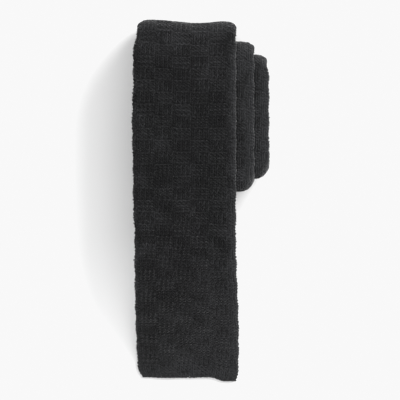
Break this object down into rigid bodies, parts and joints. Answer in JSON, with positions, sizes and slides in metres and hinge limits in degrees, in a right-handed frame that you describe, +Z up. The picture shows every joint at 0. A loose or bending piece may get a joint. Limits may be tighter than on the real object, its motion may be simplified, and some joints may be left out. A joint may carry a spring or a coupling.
{
  "type": "necktie",
  "caption": "Skinny square-ended knitted necktie in charcoal wool, wound as a flat spiral roll with its front blade hanging down in front.",
  "frame": {"origin": "centre of the footprint, on the surface the tie lies on", "axes": "+Z up, +Y from the blade's tip to the far fold of the roll, +X across the tie to the right seen from above"},
  "size_m": [0.0796, 0.211, 0.0362],
  "materials": {
    "knit": "matte basket-weave knit",
    "lining": "brushed wool interlining",
    "thread": "twisted sewing thread",
    "label_satin": "woven satin ribbon",
    "label_tape": "woven label tape"
  },
  "bodies": {
    "roll": {"blade_rolled_knit": "knit", "blade_rolled_lining": "lining", "blade_rolled_seam_thread": "thread", "neck_joint_seam": "thread", "neck_band_knit": "knit", "neck_band_lining": "lining", "neck_seam_thread": "thread", "tail_joint_seam": "thread", "tail_knit": "knit", "tail_lining": "lining", "tail_seam_thread": "thread", "tail_hem": "knit", "tail_hem_stitches": "thread", "tail_bar_tack": "thread"},
    "blade_upper": {"blade_mid_knit": "knit", "blade_mid_lining": "lining", "blade_mid_seam_thread": "thread", "keeper_loop": "label_satin", "maker_label": "label_satin", "care_label": "label_tape", "label_stitches": "thread"},
    "blade_lower": {"blade_end_knit": "knit", "blade_end_lining": "lining", "blade_end_seam_thread": "thread", "blade_hem": "knit", "blade_hem_stitches": "thread", "blade_bar_tack": "thread"}
  },
  "joints": [
    {"name": "blade_lift", "type": "hinge", "parent": "roll", "child": "blade_upper", "pos_m": [-0.0098, 0.1055, 0.01812], "axis": [-1, 0, 0], "range_deg": [0, 105]},
    {"name": "blade_end_fold", "type": "hinge", "parent": "blade_upper", "child": "blade_lower", "pos_m": [-0.0098, 0.01, 0.03625], "axis": [-1, 0, 0], "range_deg": [0, 150]}
  ]
}
